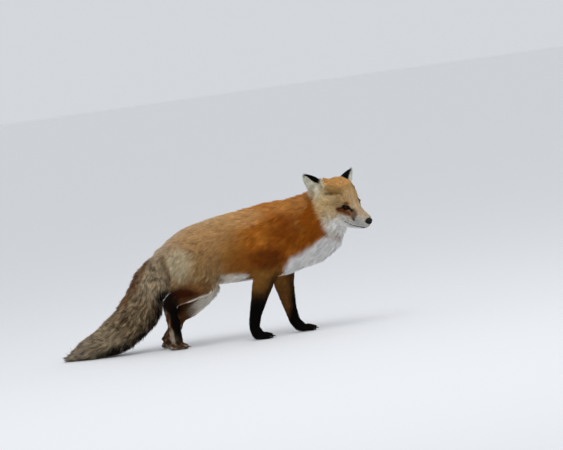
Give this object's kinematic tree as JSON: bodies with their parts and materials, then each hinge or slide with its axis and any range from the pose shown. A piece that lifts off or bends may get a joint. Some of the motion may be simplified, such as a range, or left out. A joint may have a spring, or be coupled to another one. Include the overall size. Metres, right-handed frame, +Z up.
{
  "type": "red fox",
  "caption": "Life-size still model of a red fox in winter coat, in mid-stride with its head turned to its right and its tail down to the floor.",
  "frame": {"origin": "middle of the bounding box, on the floor under the four paws", "axes": "+X the way the fox walks, +Y its left side, +Z up"},
  "size_m": [0.9862, 0.1828, 0.4739],
  "materials": {
    "coat_rust": "long winter fur, orange to rust",
    "coat_tan": "fur, tan and cream with dark tips",
    "coat_grizzled": "long bushy fur, grizzled grey-brown",
    "coat_brown": "short dense fur, rusty brown",
    "coat_white": "short soft fur, white",
    "coat_black": "short dense fur, black",
    "eye": "wet, amber-brown iris with a slit pupil",
    "nose_pad": "moist black leathery skin"
  },
  "bodies": {
    "root": {"head": "coat_tan", "lower_jaw": "coat_white", "nose": "nose_pad", "eye_right": "eye", "eye_left": "eye", "ear_right": "coat_black", "ear_left": "coat_black", "neck": "coat_rust", "chest": "coat_rust", "loin": "coat_rust", "rump": "coat_tan", "tail_root": "coat_grizzled", "tail_middle": "coat_grizzled", "tail_brush": "coat_grizzled", "tail_tip": "coat_tan", "foreleg_right_upper": "coat_brown", "foreleg_left_upper": "coat_brown", "foreleg_right_lower": "coat_black", "foreleg_left_lower": "coat_black", "forepaw_right": "coat_black", "forepaw_left": "coat_black", "thigh_right": "coat_tan", "thigh_left": "coat_tan", "shank_right": "coat_brown", "shank_left": "coat_brown", "hind_foot_right": "coat_black", "hind_foot_left": "coat_black", "hind_paw_right": "coat_black", "hind_paw_left": "coat_black"}
  },
  "joints": []
}
